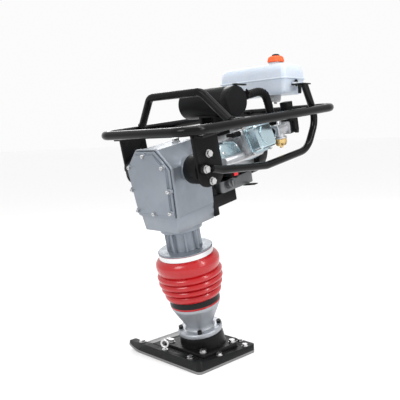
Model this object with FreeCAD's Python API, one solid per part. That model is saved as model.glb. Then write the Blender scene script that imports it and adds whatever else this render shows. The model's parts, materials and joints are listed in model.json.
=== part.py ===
"""Jumping jack rammer (tamping rammer).

Row frame: +Z up, the machine travels towards -Y, its left side is +X, the ground plane is z = 0.
The origin is on the sole's flat face, in the machine's middle plane.
The leg frame is used above the shoe: its z runs up the leaning leg, x is the machine's left, y is backwards.
"""
import FreeCAD, Part
import math
import os

from FreeCAD import Vector

os.makedirs("parts", exist_ok=True)

# Leg
LEAN_DEG = 11.0
LEG_GROUND_Y = 12.0

# Shoe
SOLE_FRONT_Y = -131.0
SOLE_REAR_Y = 131.0
SOLE_LEFT_X = 120.0
SOLE_BEND_X = -165.0
SOLE_TIP_X = -229.0
SOLE_BEND_RADIUS = 129.0
SOLE_THICK = 8.0
SOLE_MIDDLE_END_X = -205.0
BLOCK_END_X = -134.0
RAIL_WIDTH = 25.0
RIM_FRONT_Z = 36.0
RIM_REAR_Z = 27.0
POCKET_Z = 22.0

# Boot
BOOT_X = (-92.0, 95.0)
BOOT_Y = (-90.0, 72.0)
BOOT_PLATE_TOP_Z = 44.0
BOOT_FOOT_R = 75.0
BOOT_NECK_R = 70.0
FLANGE_H = 88.0

# Spring cylinder and ram
FLANGE_R = 73.0
FLANGE_THICK = 15.0
FLANGE_BOLT_OFFSET = 44.5
NECK_R = 45.0
CONE_TOP_R = 80.0
CONE_TOP_H = 190.0
CUFF_R = 78.0
CUFF_TOP_H = 217.0
SPRING_TUBE_R = 60.0
SPRING_BORE_R = 52.0
SPRING_FLOOR_H = 150.0
SPRING_TUBE_TOP_H = 330.0
PISTON_H = 215.0
PISTON_THICK = 18.0
RAM_ROD_R = 14.0
FIT = 0.05

# Guide cylinder
GUIDE_R = 68.0
GUIDE_BOTTOM_H = 250.0
DISC_R = 88.0
DISC_TOP_H = 378.0
DISC_THICK = 22.0
RIB_CORE_R = 46.0
RIB_R = 57.0
SKIRT_H = 458.0
GUIDE_FLANGE_R = 67.0
BELLOWS_CONVOLUTIONS = 5
BELLOWS_WALL = 3.0

# Crank drive
GEAR_MODULE = 2.5
GEAR_TEETH = 54
PINION_TEETH = 14
PRESSURE_DEG = 25.0
ENGINE_H = 628.0
CRANK_H = ENGINE_H - GEAR_MODULE * (GEAR_TEETH + PINION_TEETH) / 2
THROW = 27.0
ROD_LENGTH = 110.0
WRIST_H = CRANK_H - THROW - ROD_LENGTH

# Crankcase
COVER_FRONT_Y = -94.0
COVER_BACK_Y = -82.0
CASE_BACK_Y = 78.0
CASE_WALL = 8.0
CASE_TOP_H = 711.0
COVER_BOTTOM_H = 508.0
CASE_HALF_TOP = 43.0
CASE_HALF_SHOULDER = 86.0
CASE_HALF_WIDE = 97.0
CASE_HALF_LOW = 84.0
MOUNT_H = 638.0
MOUNT_Y = -5.0
MOUNT_R = 44.0

# Side plates and handle
PLATE_X = 166.0
PLATE_THICK = 8.0
HANDLE_HALF = 213.0
HANDLE_FRONT = (-222.0, 732.0)
HANDLE_REAR = (490.0, 808.0)
HANDLE_TUBE_R = 14.0
BOW_TUBE_R = 12.5
GUARD_TUBE_R = 12.0
GUARD_X = 189.0
GUARD_BEND = 80.0
TONGUE_THICK = 12.0
TUBE_WALL = 2.5

# Engine
CYLINDER_TILT_DEG = 16.5
CYLINDER_Y = 268.0
ENGINE_FRONT_Y = 122.0
ENGINE_BACK_Y = 316.0
SUMP_BACK_Y = 278.0

# Air cleaner and tank, row frame
AIR_Y = 84.5
AIR_Z = 827.0
AIR_R = 49.0
AIR_X = (-115.0, 115.0)
TANK_X = (-148.0, 150.0)
TANK_Y = (278.0, 398.0)
TANK_Z = (853.0, 957.0)


# ---------------------------------------------------------------- shape helpers

def leaned(shape):
    """Place a leg-frame shape in the row frame."""
    placed = shape.copy()
    placed.rotate(Vector(0, 0, 0), Vector(1, 0, 0), LEAN_DEG)
    placed.translate(Vector(0, LEG_GROUND_Y, 0))
    return placed


def leg_point(x, y, h):
    """Row-frame place of a leg-frame point."""
    lean = math.radians(LEAN_DEG)
    row_y = LEG_GROUND_Y + y * math.cos(lean) - h * math.sin(lean)
    return Vector(x, row_y, y * math.sin(lean) + h * math.cos(lean))


def box(x, y, z):
    """A box from three (low, high) pairs."""
    return Part.makeBox(x[1] - x[0], y[1] - y[0], z[1] - z[0], Vector(x[0], y[0], z[0]))


def rod(radius, start, end):
    """A solid cylinder between two points."""
    run = end - start
    return Part.makeCylinder(radius, run.Length, start, run)


def ring(outer, inner, start, end):
    """A hollow cylinder between two points."""
    return rod(outer, start, end).cut(rod(inner, start, end))


def turned(profile, centre=Vector(0, 0, 0)):
    """Revolve a closed (radius, height) outline about the z axis."""
    points = [Vector(r, 0, z) for r, z in profile]
    face = Part.Face(Part.makePolygon(points + points[:1]))
    solid = face.revolve(Vector(0, 0, 0), Vector(0, 0, 1), 360)
    solid.translate(centre)
    return solid


def prism_y(outline, y):
    """Extrude a closed (x, z) outline along y."""
    points = [Vector(x, y[0], z) for x, z in outline]
    return Part.Face(Part.makePolygon(points + points[:1])).extrude(Vector(0, y[1] - y[0], 0))


def prism_x(outline, x):
    """Extrude a closed (y, z) outline along x."""
    points = [Vector(x[0], y, z) for y, z in outline]
    return Part.Face(Part.makePolygon(points + points[:1])).extrude(Vector(x[1] - x[0], 0, 0))


def joined(shapes):
    """Fuse touching shapes into one clean solid."""
    result = shapes[0]
    for shape in shapes[1:]:
        result = result.fuse(shape)
    return result.removeSplitter()


def group(shapes):
    """Keep separate solids together in one node."""
    return Part.makeCompound([solid for shape in shapes for solid in shape.Solids])


def softened(shape, radius, direction, tolerance=0.01):
    """Fillet the straight edges that run along one direction."""
    def runs_along(edge):
        if len(edge.Vertexes) != 2 or not isinstance(edge.Curve, Part.Line):
            return False
        return edge.tangentAt(edge.FirstParameter).cross(direction).Length < tolerance
    edges = [edge for edge in shape.Edges if runs_along(edge)]
    return shape.makeFillet(radius, edges)


def solid_bar(points, bend, radius, closed=False):
    """A round bar along straight runs joined by tangent arcs."""
    def section(centre, tangent):
        return Part.Face(Part.Wire(Part.makeCircle(radius, centre, tangent)))

    count = len(points)
    corners = range(count) if closed else range(1, count - 1)
    pieces, runs = [], []
    leave = points[0]
    for index in corners:
        before, corner, after = points[index - 1], points[index], points[(index + 1) % count]
        back = (before - corner).normalize()
        ahead = (after - corner).normalize()
        half = back.getAngle(ahead) / 2
        enter = corner + back * (bend / math.tan(half))
        centre = corner + (back + ahead).normalize() * (bend / math.sin(half))
        axis = back.cross(ahead)
        turn = 180 - math.degrees(2 * half)
        pieces.append(section(enter, back).revolve(centre, axis * -1, turn))
        runs.append((leave, enter))
        leave = corner + ahead * (bend / math.tan(half))
    if closed:
        runs[0] = (leave, runs[0][1])
    else:
        runs.append((leave, points[-1]))
    for start, end in runs:
        pieces.append(rod(radius, start, end))
    return joined(pieces)


def bent_tube(points, bend, outer, inner, closed=False):
    """A hollow tube: the outer bar less the inner one."""
    return solid_bar(points, bend, outer, closed).cut(solid_bar(points, bend, inner, closed))


def hexagon(width, start, end):
    """A hexagonal prism of that width across flats."""
    run = end - start
    side = Vector(0, 0, 1).cross(run)
    if side.Length < 1e-6:
        side = Vector(1, 0, 0)
    side.normalize()
    other = run.cross(side).normalize()
    reach = width / math.sqrt(3)
    angles = [math.radians(60 * turn) for turn in range(6)]
    points = [start + side * (reach * math.cos(a)) + other * (reach * math.sin(a)) for a in angles]
    return Part.Face(Part.makePolygon(points + points[:1])).extrude(run)


def hex_bolt(seat, out, size, length):
    """A flanged hex bolt: its head stands out of the seat, its shank goes in."""
    out = Vector(out).normalize()
    washer = rod(size * 1.05, seat, seat + out * (size * 0.18))
    head = hexagon(size * 1.6, seat + out * (size * 0.18), seat + out * (size * 0.85))
    shank = rod(size / 2, seat - out * length, seat)
    return joined([washer, head, shank])


def socket_bolt(seat, out, size, length):
    """A socket-head cap screw."""
    out = Vector(out).normalize()
    head = rod(size * 0.75, seat, seat + out * size)
    socket = hexagon(size * 0.8, seat + out * (size * 0.5), seat + out * (size * 1.1))
    shank = rod(size / 2, seat - out * length, seat)
    return joined([head, shank]).cut(socket)


def save(name, shape):
    shape.exportStep("parts/" + name + ".step")


# ---------------------------------------------------------------- foot, row frame

def arc_point(centre, radius, degrees):
    angle = math.radians(degrees)
    return Vector(centre.x + radius * math.cos(angle), 0, centre.z + radius * math.sin(angle))


def sole_curve(radius, end_degrees):
    """The upturned end's arc, from the bend line to the tip."""
    centre = Vector(SOLE_BEND_X, 0, SOLE_BEND_RADIUS)
    start, end = arc_point(centre, radius, -90), arc_point(centre, radius, end_degrees)
    middle = arc_point(centre, radius, (end_degrees - 90) / 2)
    return start, Part.Arc(start, middle, end).toShape(), end


TIP_DEG = -90 - math.degrees(math.asin((SOLE_BEND_X - SOLE_TIP_X) / SOLE_BEND_RADIUS))


def left_corners(shape):
    """The upright edges at the shoe's square left end."""
    return [e for e in shape.Edges if e.BoundBox.XMin > SOLE_LEFT_X - 1 and e.BoundBox.YLength < 1]


def make_sole_plate():
    low_start, low_arc, low_end = sole_curve(SOLE_BEND_RADIUS, TIP_DEG)
    top_start, top_arc, top_end = sole_curve(SOLE_BEND_RADIUS - SOLE_THICK, TIP_DEG)
    edges = [
        Part.LineSegment(Vector(SOLE_LEFT_X, 0, 0), low_start).toShape(),
        low_arc,
        Part.LineSegment(low_end, top_end).toShape(),
        top_arc,
        Part.LineSegment(top_start, Vector(SOLE_LEFT_X, 0, SOLE_THICK)).toShape(),
        Part.LineSegment(Vector(SOLE_LEFT_X, 0, SOLE_THICK), Vector(SOLE_LEFT_X, 0, 0)).toShape(),
    ]
    face = Part.Face(Part.Wire(Part.__sortEdges__(edges)))
    face.translate(Vector(0, SOLE_FRONT_Y, 0))
    plate = face.extrude(Vector(0, SOLE_REAR_Y - SOLE_FRONT_Y, 0))
    inner = (SOLE_FRONT_Y + RAIL_WIDTH, SOLE_REAR_Y - RAIL_WIDTH)
    plate = plate.cut(box((SOLE_TIP_X - 10, SOLE_MIDDLE_END_X), inner, (-5, 60)))
    return plate.makeFillet(14, left_corners(plate))


def make_rail(y, top_z):
    """One side rail of the shoe: flat on top, following the sole's upturn below."""
    top_start, top_arc, top_end = sole_curve(SOLE_BEND_RADIUS - SOLE_THICK, TIP_DEG)
    tip_top = Vector(top_end.x + 2, 0, max(top_z - 3, top_end.z + 5))
    corner = Vector(BLOCK_END_X + 1, 0, top_z)
    foot = Vector(BLOCK_END_X + 1, 0, SOLE_THICK)
    edges = [
        Part.LineSegment(foot, top_start).toShape(),
        top_arc,
        Part.LineSegment(top_end, tip_top).toShape(),
        Part.LineSegment(tip_top, corner).toShape(),
        Part.LineSegment(corner, foot).toShape(),
    ]
    face = Part.Face(Part.Wire(Part.__sortEdges__(edges)))
    face.translate(Vector(0, y[0], 0))
    return face.extrude(Vector(0, y[1] - y[0], 0))


def make_shoe_block():
    outline = [
        (SOLE_FRONT_Y, SOLE_THICK),
        (SOLE_REAR_Y, SOLE_THICK),
        (SOLE_REAR_Y, RIM_REAR_Z),
        (SOLE_FRONT_Y, RIM_FRONT_Z),
    ]
    block = prism_x(outline, (BLOCK_END_X, SOLE_LEFT_X))
    block = block.makeFillet(14, left_corners(block))
    front = make_rail((SOLE_FRONT_Y, SOLE_FRONT_Y + RAIL_WIDTH), RIM_FRONT_Z)
    rear = make_rail((SOLE_REAR_Y - RAIL_WIDTH, SOLE_REAR_Y), RIM_REAR_Z + 0.5)
    block = joined([block, front, rear])
    pocket = box((BOOT_X[0] - 1, BOOT_X[1] + 1), (BOOT_Y[0] - 1, BOOT_Y[1] + 1), (POCKET_Z, 60))
    block = block.cut(pocket)
    for y in (SOLE_FRONT_Y + RAIL_WIDTH, SOLE_REAR_Y - RAIL_WIDTH - 3):
        groove_z = RIM_FRONT_Z - 5 if y < 0 else RIM_REAR_Z - 2
        block = block.cut(box((BLOCK_END_X - 1, SOLE_LEFT_X - 22), (y, y + 3), (groove_z, 60)))
    return block


def rim_z(y):
    share = (y - SOLE_FRONT_Y) / (SOLE_REAR_Y - SOLE_FRONT_Y)
    return RIM_FRONT_Z + (RIM_REAR_Z - RIM_FRONT_Z) * share


SHOE_BOLT_PLACES = [(61, -113), (-170, -118), (108, -31), (108, 90), (61, 118), (-170, 118), (-116, -46)]


def make_shoe_bolts():
    bolts = []
    for x, y in SHOE_BOLT_PLACES:
        seat = Vector(x, y, rim_z(y) - 1.0)
        bolts.append(hex_bolt(seat, Vector(0, 0, 1), 10.0, rim_z(y) - 1.0 - SOLE_THICK + 4))
    return group(bolts)


BOOT_BOLT_PLACES = [(BOOT_X[0] + 17, BOOT_Y[0] + 20), (BOOT_X[1] - 20, BOOT_Y[0] + 20),
                    (BOOT_X[0] + 17, BOOT_Y[1] - 14), (BOOT_X[1] - 15, BOOT_Y[1] - 14)]


def make_boot():
    plate = box(BOOT_X, BOOT_Y, (POCKET_Z, BOOT_PLATE_TOP_Z))
    plate = softened(plate, 10, Vector(0, 0, 1))
    body = leaned(Part.makeCone(BOOT_FOOT_R + 6, BOOT_NECK_R, FLANGE_H, Vector(0, 0, 0)))
    body = body.cut(box((-200, 200), (-200, 200), (-60, BOOT_PLATE_TOP_Z - 2)))
    boot = joined([plate, body])
    hollow = leaned(Part.makeCylinder(38, FLANGE_H, Vector(0, 0, 34)))
    return boot.cut(hollow)


def make_boot_bolts():
    up = Vector(0, 0, 1)
    return group([hex_bolt(Vector(x, y, BOOT_PLATE_TOP_Z), up, 11.0, 30) for x, y in BOOT_BOLT_PLACES])


EYE_PLACE = (-52.0, -118.0)


def make_shoe_eye():
    x, y = EYE_PLACE
    seat_z = rim_z(y) - 1.0
    collar = rod(9, Vector(x, y, seat_z), Vector(x, y, seat_z + 4))
    stem = rod(4.5, Vector(x, y, SOLE_THICK + 4), Vector(x, y, seat_z + 10))
    ring_centre = Vector(x, y, seat_z + 22)
    eye = Part.makeTorus(12, 4, ring_centre, Vector(0.35, -0.94, 0))
    return joined([collar, stem, eye])


# ---------------------------------------------------------------- spring cylinder and ram, leg frame

FLANGE_BOLTS = [(sx * FLANGE_BOLT_OFFSET, sy * FLANGE_BOLT_OFFSET) for sx in (-1, 1) for sy in (-1, 1)]


def make_spring_cylinder():
    top = FLANGE_H + FLANGE_THICK
    body = turned([
        (0, FLANGE_H), (FLANGE_R - 2, FLANGE_H), (FLANGE_R, FLANGE_H + 2), (FLANGE_R, top - 3),
        (FLANGE_R - 3, top), (NECK_R + 5, top), (NECK_R + 1, top + 4), (NECK_R, top + 12),
        (CONE_TOP_R - 4, CONE_TOP_H - 16),
        (CONE_TOP_R, CONE_TOP_H - 8), (CONE_TOP_R, CONE_TOP_H), (CUFF_R, CONE_TOP_H + 1),
        (CUFF_R, CUFF_TOP_H),
        (SPRING_TUBE_R, CUFF_TOP_H), (SPRING_TUBE_R, SPRING_TUBE_TOP_H), (SPRING_BORE_R, SPRING_TUBE_TOP_H),
        (SPRING_BORE_R, SPRING_FLOOR_H), (0, SPRING_FLOOR_H),
    ])
    return body


def make_cylinder_bolts():
    top = FLANGE_H + FLANGE_THICK
    return group([socket_bolt(Vector(x, y, top), Vector(0, 0, 1), 10.0, 28) for x, y in FLANGE_BOLTS])


CAP_THICK = 11.0


def make_spring_cap():
    top = SPRING_TUBE_TOP_H
    return turned([
        (RAM_ROD_R + FIT, top - CAP_THICK), (SPRING_BORE_R, top - CAP_THICK), (SPRING_BORE_R, top),
        (SPRING_TUBE_R - 1, top), (SPRING_TUBE_R - 1, top + 3), (RAM_ROD_R + FIT, top + 3),
    ])


def coil(start_h, length, turns, mean_r, wire_r):
    """A helical spring."""
    helix = Part.makeHelix(length / turns, length, mean_r)
    helix.translate(Vector(0, 0, start_h))
    tangent = Vector(0, 1, length / turns / (2 * math.pi * mean_r))
    section = Part.Wire(Part.makeCircle(wire_r, Vector(mean_r, 0, start_h), tangent))
    return Part.Wire(helix.Edges).makePipeShell([section], True, True)


SPRING_WIRE_R = 4.5
SPRING_MEAN_R = 44.5


def make_ram_springs():
    """The springs under and over the piston."""
    gap = SPRING_WIRE_R + 0.8
    low = coil(SPRING_FLOOR_H + gap, PISTON_H - SPRING_FLOOR_H - 2 * gap, 4, SPRING_MEAN_R, SPRING_WIRE_R)
    over = PISTON_H + PISTON_THICK
    high_length = SPRING_TUBE_TOP_H - CAP_THICK - over - 2 * gap
    high = coil(over + gap, high_length, 5, SPRING_MEAN_R, SPRING_WIRE_R)
    return group([low, high])


def make_ram_piston():
    top = PISTON_H + PISTON_THICK
    piston = turned([
        (0, PISTON_H), (SPRING_BORE_R - FIT, PISTON_H), (SPRING_BORE_R - FIT, top), (24, top),
        (RAM_ROD_R, top + 8),
        (RAM_ROD_R, WRIST_H - 26), (24, WRIST_H - 18), (24, WRIST_H + 11), (0, WRIST_H + 11),
    ])
    slot = box((-40, 40), (-10, 10), (WRIST_H - 15, WRIST_H + 40))
    pin = rod(8, Vector(0, -23, WRIST_H), Vector(0, 23, WRIST_H))
    return joined([piston.cut(slot), pin])


def make_connecting_rod():
    """The rod between the wrist pin and the crank pin, with bronze-bushed eyes."""
    big_h = WRIST_H + ROD_LENGTH
    small = rod(13, Vector(0, -9, WRIST_H), Vector(0, 9, WRIST_H))
    big = rod(23, Vector(0, -9, big_h), Vector(0, 9, big_h))
    shank = box((-9, 9), (-7, 7), (WRIST_H + 8, big_h - 16))
    body = joined([small, big, shank])
    body = body.cut(rod(8 + FIT, Vector(0, -20, WRIST_H), Vector(0, 20, WRIST_H)))
    return body.cut(rod(13, Vector(0, -20, big_h), Vector(0, 20, big_h)))


# ---------------------------------------------------------------- bellows and clamps, leg frame

BELLOWS_BOTTOM_H = CUFF_TOP_H
BELLOWS_TOP_H = DISC_TOP_H - DISC_THICK
BELLOWS_SHARES = [0.18, 0.15, 0.155, 0.155, 0.36]
BELLOWS_RADII = [93.0, 100.0, 105.0, 106.0, 104.0]


def make_bellows():
    """A barrel of convolutions between two cuffs."""
    length = BELLOWS_TOP_H - BELLOWS_BOTTOM_H
    outer = [(CUFF_R + BELLOWS_WALL, CONE_TOP_H + 3), (CUFF_R + BELLOWS_WALL, BELLOWS_BOTTOM_H)]
    height = BELLOWS_BOTTOM_H
    for number in range(BELLOWS_CONVOLUTIONS):
        step = BELLOWS_SHARES[number] * length
        radius = BELLOWS_RADII[number]
        for turn in range(1, 6):
            rise = turn / 6
            swell = math.sin(math.pi * rise) ** 0.6
            low = radius - 7 if number else (CUFF_R + BELLOWS_WALL) + 2
            outer.append((low + (radius - low) * swell, height + step * rise))
        height += step
        if number < BELLOWS_CONVOLUTIONS - 1:
            outer.append((radius - 6, height))
    cuff = DISC_R - 5
    outer += [(cuff + BELLOWS_WALL, BELLOWS_TOP_H), (cuff + BELLOWS_WALL, DISC_TOP_H - 6)]
    inner = [(r - BELLOWS_WALL, h) for r, h in reversed(outer)]
    return turned(outer + inner)


def make_band(inner, low, high, lug_degrees):
    """A worm clamp: a thin band with its screw housing."""
    band = turned([(inner, low), (inner + 1.6, low), (inner + 1.6, high), (inner, high)])
    middle = (low + high) / 2
    lug = box((inner + 1, inner + 9), (-8, 8), (middle - 5, middle + 5))
    screw = rod(3, Vector(inner + 5, -14, middle), Vector(inner + 5, 14, middle))
    hardware = joined([lug, screw])
    hardware = hardware.cut(Part.makeCylinder(inner, 300, Vector(0, 0, low - 100)))
    hardware.rotate(Vector(0, 0, 0), Vector(0, 0, 1), lug_degrees)
    return joined([band, hardware])


def make_lower_clamp():
    return make_band(CUFF_R + BELLOWS_WALL, CUFF_TOP_H - 20, CUFF_TOP_H - 1, 200)


def make_upper_clamp():
    return make_band(DISC_R - 5 + BELLOWS_WALL, DISC_TOP_H - DISC_THICK + 1, DISC_TOP_H - 6, 160)


# ---------------------------------------------------------------- guide cylinder and crankcase, leg frame

BUSH_TOP_H = 300.0
BUSH_R = 63.5


def make_guide_cylinder():
    """The tube that slides over the spring tube, its disc, and the ribbed neck up to the crankcase."""
    wall_in = SPRING_TUBE_R + 0.4
    cuff = DISC_R - 5
    body = turned([
        (BUSH_R, GUIDE_BOTTOM_H), (GUIDE_R, GUIDE_BOTTOM_H), (GUIDE_R, DISC_TOP_H - DISC_THICK - 4),
        (cuff, DISC_TOP_H - DISC_THICK), (cuff, DISC_TOP_H - 5), (DISC_R, DISC_TOP_H - 5),
        (DISC_R, DISC_TOP_H - 1),
        (DISC_R - 1, DISC_TOP_H), (RIB_CORE_R, DISC_TOP_H), (RIB_CORE_R, SKIRT_H - 17),
        (GUIDE_FLANGE_R - 2, SKIRT_H - 17), (GUIDE_FLANGE_R, SKIRT_H - 15), (GUIDE_FLANGE_R, SKIRT_H),
        (38, SKIRT_H), (38, DISC_TOP_H - 8), (wall_in, DISC_TOP_H - 10), (wall_in, BUSH_TOP_H),
        (BUSH_R, BUSH_TOP_H),
    ])
    ribs = []
    for number in range(8):
        rib = box((RIB_CORE_R - 1, RIB_R), (-3, 3), (DISC_TOP_H - 1, SKIRT_H - 16))
        rib.rotate(Vector(0, 0, 0), Vector(0, 0, 1), 45 * number + 10)
        ribs.append(rib)
    return joined([body] + ribs)


def make_wear_bush():
    return turned([
        (SPRING_TUBE_R + FIT, GUIDE_BOTTOM_H), (BUSH_R, GUIDE_BOTTOM_H), (BUSH_R, BUSH_TOP_H),
        (SPRING_TUBE_R + FIT, BUSH_TOP_H),
    ])


def case_outline(grow=0.0):
    """The housing's eight-sided outline, (x, z), grown outwards by that much."""
    top = CASE_TOP_H + grow
    right = [
        (CASE_HALF_TOP + grow * 0.4, top), (CASE_HALF_SHOULDER + grow, 668 + grow * 0.4),
        (CASE_HALF_WIDE + grow, 655), (CASE_HALF_LOW + grow, COVER_BOTTOM_H - grow),
    ]
    return right + [(-x, z) for x, z in reversed(right)]


SKIRT_HALF_TOP = 82.0
SKIRT_HALF_BOTTOM = 74.0


def skirt_outline(grow=0.0):
    bottom = SKIRT_H - grow
    return [
        (SKIRT_HALF_TOP + grow, COVER_BOTTOM_H + 12), (SKIRT_HALF_TOP + grow, COVER_BOTTOM_H - 6),
        (SKIRT_HALF_BOTTOM + grow, bottom), (-SKIRT_HALF_BOTTOM - grow, bottom),
        (-SKIRT_HALF_TOP - grow, COVER_BOTTOM_H - 6), (-SKIRT_HALF_TOP - grow, COVER_BOTTOM_H + 12),
    ]


def make_crankcase():
    upper = prism_y(case_outline(), (COVER_BACK_Y, CASE_BACK_Y))
    lower = prism_y(skirt_outline(), (COVER_BACK_Y + 2, CASE_BACK_Y))
    flange = prism_y(case_outline(4), (COVER_BACK_Y, COVER_BACK_Y + 9))
    bosses = []
    for side in (-1, 1):
        inner, outer = Vector(side * 70, MOUNT_Y, MOUNT_H), Vector(side * 112, MOUNT_Y, MOUNT_H)
        bosses.append(rod(MOUNT_R - 8, inner, outer))
    case = joined([upper, lower, flange] + bosses)
    room = prism_y(case_outline(-CASE_WALL), (COVER_BACK_Y - 1, CASE_BACK_Y - 15))
    sump = prism_y(skirt_outline(-CASE_WALL), (COVER_BACK_Y + 10, CASE_BACK_Y - 15))
    case = case.cut(room).cut(sump)
    case = case.cut(rod(38, Vector(0, 0, SKIRT_H - 20), Vector(0, 0, SKIRT_H + 30)))
    back = (CASE_BACK_Y - 16, CASE_BACK_Y + 1)
    case = case.cut(rod(26, Vector(0, back[0], CRANK_H), Vector(0, back[1], CRANK_H)))
    case = case.cut(rod(21, Vector(0, back[0], ENGINE_H), Vector(0, back[1], ENGINE_H)))
    return case


COVER_SCREWS = [(0, 698), (77, 663), (-77, 663), (85, 592), (-85, 592), (76, 525), (-76, 525), (0, 519)]


def make_front_cover():
    """The bolted cover: a rim plate, a raised face stepped in from it, and a bearing hub inside."""
    cover = prism_y(case_outline(-1), (COVER_FRONT_Y + 5, COVER_BACK_Y))
    cover = cover.fuse(prism_y(case_outline(-8), (COVER_FRONT_Y + 2, COVER_FRONT_Y + 5)))
    cover = cover.fuse(prism_y(case_outline(-11), (COVER_FRONT_Y, COVER_FRONT_Y + 2)))
    cover = cover.fuse(rod(26, Vector(0, COVER_BACK_Y, CRANK_H), Vector(0, COVER_BACK_Y + 12, CRANK_H)))
    for x, h in COVER_SCREWS:
        cover = cover.fuse(rod(9, Vector(x, COVER_FRONT_Y, h), Vector(x, COVER_BACK_Y - 1, h)))
    for x, h in COVER_SCREWS:
        cover = cover.cut(rod(3.5, Vector(x, COVER_FRONT_Y - 1, h), Vector(x, COVER_BACK_Y + 20, h)))
    return cover.removeSplitter()


def make_cover_screws():
    front = Vector(0, -1, 0)
    return group([socket_bolt(Vector(x, COVER_FRONT_Y, z), front, 7.0, 24) for x, z in COVER_SCREWS])


def make_top_plug():
    seat = Vector(0, 44, CASE_TOP_H)
    up = Vector(0, 0, 1)
    washer = rod(14, seat, seat + up * 3)
    head = hexagon(20, seat + up * 3, seat + up * 12)
    return joined([washer, head, rod(9, seat - up * 7, seat)])


def make_case_bearings():
    """The crank gear's bearing and the drum shaft's bearing, in the rear wall."""
    span = (CASE_BACK_Y - 15, CASE_BACK_Y)
    crank = ring(26, 15 + FIT, Vector(0, span[0], CRANK_H), Vector(0, span[1], CRANK_H))
    drum = ring(21, 10 + FIT, Vector(0, span[0], ENGINE_H), Vector(0, span[1], ENGINE_H))
    return group([crank, drum])


# ---------------------------------------------------------------- gears and clutch, leg frame

def tooth_flank(teeth, outer_r, backlash):
    """(radius, half angle) down one involute flank, from tip to root."""
    pitch_r = GEAR_MODULE * teeth / 2
    base_r = pitch_r * math.cos(math.radians(PRESSURE_DEG))
    roll = math.tan(math.radians(PRESSURE_DEG)) - math.radians(PRESSURE_DEG)
    half = math.pi / (2 * teeth) - backlash / pitch_r + roll
    root_r = pitch_r - 1.15 * GEAR_MODULE
    points = []
    for share in (1.0, 0.7, 0.4, 0.1):
        radius = max(base_r, root_r) + share * (outer_r - max(base_r, root_r))
        bend = math.sqrt((radius / base_r) ** 2 - 1) if radius > base_r else 0.0
        points.append((radius, half - (bend - math.atan(bend))))
    points.append((root_r, half))
    return points


def make_gear(teeth, y, centre_h, phase_deg):
    """A spur gear about the y axis with one tooth centred at phase_deg."""
    outer_r = GEAR_MODULE * (teeth / 2 + 0.85)
    flank = tooth_flank(teeth, outer_r, 0.12)
    outline = []
    for number in range(teeth):
        middle = math.radians(phase_deg) + number * 2 * math.pi / teeth
        rising = [(r, middle - a) for r, a in reversed(flank)]
        falling = [(r, middle + a) for r, a in flank]
        outline += [(r * math.cos(a), centre_h + r * math.sin(a)) for r, a in rising + falling]
    return prism_y(outline, y)


GEAR_Y = (12.0, 32.0)


def make_crank_gear():
    gear = make_gear(GEAR_TEETH, GEAR_Y, CRANK_H, 90)
    for number in range(6):
        angle = math.radians(60 * number)
        centre = Vector(45 * math.cos(angle), 0, CRANK_H + 45 * math.sin(angle))
        gear = gear.cut(rod(11, centre, centre + Vector(0, 60, 0)))
    pin = rod(12.5, Vector(0, GEAR_Y[0] - 2.5, CRANK_H - THROW), Vector(0, GEAR_Y[0] + 1, CRANK_H - THROW))
    web = rod(22, Vector(0, GEAR_Y[0] - 1.5, CRANK_H - THROW), Vector(0, GEAR_Y[1], CRANK_H - THROW))
    shaft = rod(15, Vector(0, GEAR_Y[1] - 1, CRANK_H), Vector(0, CASE_BACK_Y - 1, CRANK_H))
    collar = rod(22, Vector(0, GEAR_Y[1] - 1, CRANK_H), Vector(0, CASE_BACK_Y - 17, CRANK_H))
    return joined([gear, pin, web, shaft, collar])


DRUM_Y = (80.0, 114.0)


def make_clutch_drum():
    """Pinion, its shaft and the clutch drum in one piece."""
    pinion = make_gear(PINION_TEETH, (GEAR_Y[0] + 1, GEAR_Y[1] + 1), ENGINE_H, -90 + 180.0 / PINION_TEETH)
    shaft = rod(10, Vector(0, GEAR_Y[1], ENGINE_H), Vector(0, DRUM_Y[0] + 1, ENGINE_H))
    drum = rod(48, Vector(0, DRUM_Y[0], ENGINE_H), Vector(0, DRUM_Y[1], ENGINE_H))
    drum = drum.cut(rod(44, Vector(0, DRUM_Y[0] + 5, ENGINE_H), Vector(0, DRUM_Y[1] + 1, ENGINE_H)))
    return joined([pinion, shaft, drum])


SHOE_Y = (88.0, 110.0)


def make_clutch_shoes():
    """Two lined half rings, one each side of the hub."""
    body = ring(42.5, 20, Vector(0, SHOE_Y[0], ENGINE_H), Vector(0, SHOE_Y[1], ENGINE_H))
    return body.cut(box((-3, 3), (SHOE_Y[0] - 1, SHOE_Y[1] + 1), (ENGINE_H - 60, ENGINE_H + 60)))


def make_clutch_housing():
    front = Vector(0, CASE_BACK_Y, ENGINE_H)
    body = rod(62, front, Vector(0, ENGINE_FRONT_Y, ENGINE_H))
    foot = rod(72, front, front + Vector(0, 8, 0))
    rear = rod(72, Vector(0, ENGINE_FRONT_Y - 8, ENGINE_H), Vector(0, ENGINE_FRONT_Y, ENGINE_H))
    body = joined([body, foot, rear])
    return body.cut(rod(52, Vector(0, CASE_BACK_Y - 1, ENGINE_H), Vector(0, ENGINE_FRONT_Y + 1, ENGINE_H)))


# ---------------------------------------------------------------- engine, leg frame

BLOCK_X = (-72.0, 66.0)
BLOCK_H = (560.0, 694.0)


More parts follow.
